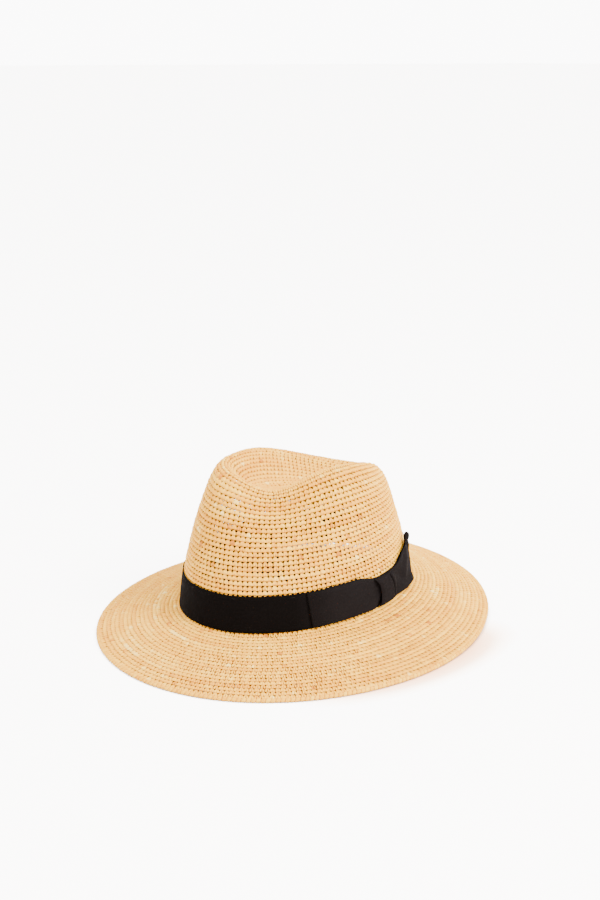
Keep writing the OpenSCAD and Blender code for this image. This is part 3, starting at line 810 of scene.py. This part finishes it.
def stitches(name, spots, length, node):
    """Short thread stitches that lie on a ribbon and dip into it at both ends."""
    f = np.linspace(-0.5, 0.5, 7)
    spots = np.array(spots, float)
    step = (wall(spots[:, 0] + 0.5, spots[:, 1], spots[:, 2]) - wall(spots[:, 0] - 0.5, spots[:, 1], spots[:, 2]))
    per = np.linalg.norm(step, axis=-1)
    ang = spots[:, :1] + f[None] * length / per[:, None]
    d = spots[:, 2:3] + 0.22 - 1.6 * np.abs(f[None]) ** 3
    h = spots[:, 1:2] + 0 * ang
    c = wall(ang, h, d)
    nx, ny = out_n(ang)
    nn = np.stack([nx, ny, 0 * nx], -1)
    v, fc = tubes(c, nn, 0.36 * np.ones(ang.shape), 0.36 * np.ones(ang.shape), sides=8)
    ob = make_mesh(name, v, fc)
    return finish_piece(ob, THREAD, "black_thread", node)


def patch(name, p0, p1, h0, h1, d, thick, mat, slot, node, rib):
    """Small woven piece that lies on the inside of the sweatband."""
    q = wall(np.array([p0, p1]), np.full(2, 15.0), np.full(2, d))
    m = max(12, int(np.linalg.norm(q[1] - q[0]) / 0.2))
    ang = np.linspace(p0, p1, m)[:, None]
    v = np.linspace(0, 1, 9)[None]
    mid = wall(ang + 0 * v, h0 + (h1 - h0) * v + 0 * ang, d + 0 * ang + 0.10 * np.sin(v * np.pi))
    ribbon(name, mid[:, ::-1], thick, mat, slot, [node], rib=rib)


IN_FACE = -(STRAW_T + GAP + SWEAT_T)
stitches("band_tack_stitches", [(a, BAND_W - 1, 0.92) for a in range(-150, 61, 30)], 3.0, "band_tacks")
stitches("bow_tack_stitches", [(KNOT_AT - 28, 5, 1.52), (KNOT_AT - 28, BAND_W - 3, 1.52), (KNOT_AT - 14, 5, 1.52)], 2.4, "bow_tacks")
stitches("sweatband_thread", [(a * 360.0 / 44 + 3, 4, IN_FACE - 0.52) for a in range(44)], 3.2, "sweatband_stitches")
patch("sweatband_tape", 176, 184, 6, SWEAT_H - 1, IN_FACE - GAP - 0.27, 0.45, SWEAT, "sweatband_ribbon", "sweatband_seam_tape", 0.9)
patch("size_label_cloth", 202 - 6.63, 202 + 6.63, 9, 23, IN_FACE - GAP - 0.22, 0.34, LABEL, "label_cloth", "size_label", 0.7)


# ---------------------------------------------------------------- stage
def stage():
    bpy.ops.mesh.primitive_plane_add(size=120, location=(0, 0, 0))
    floor = bpy.context.object
    floor.name = "floor"
    mat, nt, bsdf = nodes_of("white table")
    # the table under the hat lies in deep shade, and it throws back less light than it shows
    dim = nt.nodes.new("ShaderNodeMix")
    dim.data_type = "RGBA"
    lp = nt.nodes.new("ShaderNodeLightPath")
    nt.links.new(lp.outputs["Is Diffuse Ray"], dim.inputs[0])
    dim.inputs[7].default_value = (0.30, 0.285, 0.27, 1)
    sc = obj_coord(nt, (1 / 0.128, 1 / 0.148, 0))
    sc.node.inputs["Location"].default_value = (0.19, -0.115, 0.0)
    ln = nt.nodes.new("ShaderNodeVectorMath")
    ln.operation = "LENGTH"
    near = nt.nodes.new("ShaderNodeMix")
    near.data_type = "RGBA"
    near.blend_type = "MULTIPLY"
    nt.links.new(sc, ln.inputs[0])
    nt.links.new(ramp(nt, ln.outputs["Value"], [(0.0, (0.05, 0.04, 0.03)), (0.86, (0.05, 0.04, 0.03)), (1.0, (0.90, 0.89, 0.88))]), near.inputs[6])
    # the brim throws a narrow warm shade on the table on the side away from the light
    near.inputs[0].default_value = 1.0
    edge = nt.nodes.new("ShaderNodeVectorMath")
    edge.operation = "LENGTH"
    se = obj_coord(nt, (1 / 0.0486, 1 / 0.1134, 0))
    se.node.inputs["Location"].default_value = (-0.120 / 0.0486, -0.020 / 0.1134, 0.0)
    nt.links.new(se, edge.inputs[0])
    nt.links.new(ramp(nt, edge.outputs["Value"], [(0.60, (0.58, 0.34, 0.21)), (0.75, (0.70, 0.48, 0.35)), (0.88, (0.93, 0.83, 0.75)), (1.0, (1.0, 1.0, 1.0))]), near.inputs[7])
    nt.links.new(near.outputs[2], dim.inputs[6])
    nt.links.new(dim.outputs[2], bsdf.inputs["Base Color"])
    bsdf.inputs["Roughness"].default_value = 0.95
    bsdf.inputs["Specular IOR Level"].default_value = 0.05
    floor.data.materials.append(mat)
    world = bpy.data.worlds.new("studio")
    bpy.context.scene.world = world
    world.use_nodes = True
    bg = world.node_tree.nodes["Background"]
    # even soft light from above and a whiter band round the horizon
    wt = world.node_tree
    tc = wt.nodes.new("ShaderNodeTexCoord")
    sep = wt.nodes.new("ShaderNodeSeparateXYZ")
    see = wt.nodes.new("ShaderNodeMix")          # a plain white backdrop all round
    see.data_type = "RGBA"
    wp = wt.nodes.new("ShaderNodeLightPath")
    wt.links.new(wp.outputs["Is Camera Ray"], see.inputs[0])
    see.inputs[7].default_value = (10.6, 10.5, 10.4, 1)
    wt.links.new(tc.outputs["Generated"], sep.inputs["Vector"])
    wt.links.new(ramp(wt, sep.outputs["Z"], [(0.0, (8.2, 8.1, 8.0)), (0.09, (8.0, 7.9, 7.8)), (0.22, (2.4, 2.34, 2.28)), (0.5, (2.5, 2.43, 2.35)), (1.0, (4.6, 4.5, 4.35))]), see.inputs[6])
    wt.links.new(see.outputs[2], bg.inputs["Color"])
    bg.inputs["Strength"].default_value = 1.0

    def area(name, loc, target, size, power, color=(1, 1, 1)):
        li = bpy.data.lights.new(name, "AREA")
        li.shape = "RECTANGLE"
        li.size, li.size_y = size
        li.energy = power
        li.color = color
        ob = bpy.data.objects.new(name, li)
        bpy.context.collection.objects.link(ob)
        ob.location = loc
        ob.rotation_mode = "QUATERNION"
        ob.rotation_quaternion = (Vector(target) - Vector(loc)).to_track_quat("-Z", "Y")
        return ob

    area("key", (1.4, 0.55, 1.5), (0, 0, 0.06), (0.8, 0.8), 100, (1.0, 0.98, 0.95))
    # a wide overhead light for the table only, so that the table is whiter than the straw
    sun = bpy.data.lights.new("table light", "SUN")
    sun.energy = 22.0
    sun.angle = math.radians(60)
    sun.color = (1.0, 0.99, 0.985)
    so = bpy.data.objects.new("table light", sun)
    bpy.context.collection.objects.link(so)
    so.location = (0, 0, 3)
    only = bpy.data.collections.new("table only")
    only.objects.link(floor)
    so.light_linking.receiver_collection = only


stage()

# the camera looks at the front left of the hat from a little above
cam_d = bpy.data.cameras.new("camera")
cam = bpy.data.objects.new("camera", cam_d)
bpy.context.collection.objects.link(cam)
bpy.context.scene.camera = cam
cam_d.lens = 50.0
cam_d.sensor_width = 36.0
cam_d.clip_start, cam_d.clip_end = 0.05, 200.0
cam.location = (0.7996, -0.5557, 0.4523)
cam.rotation_euler = (math.radians(72.5), 0.0, math.radians(55.0))
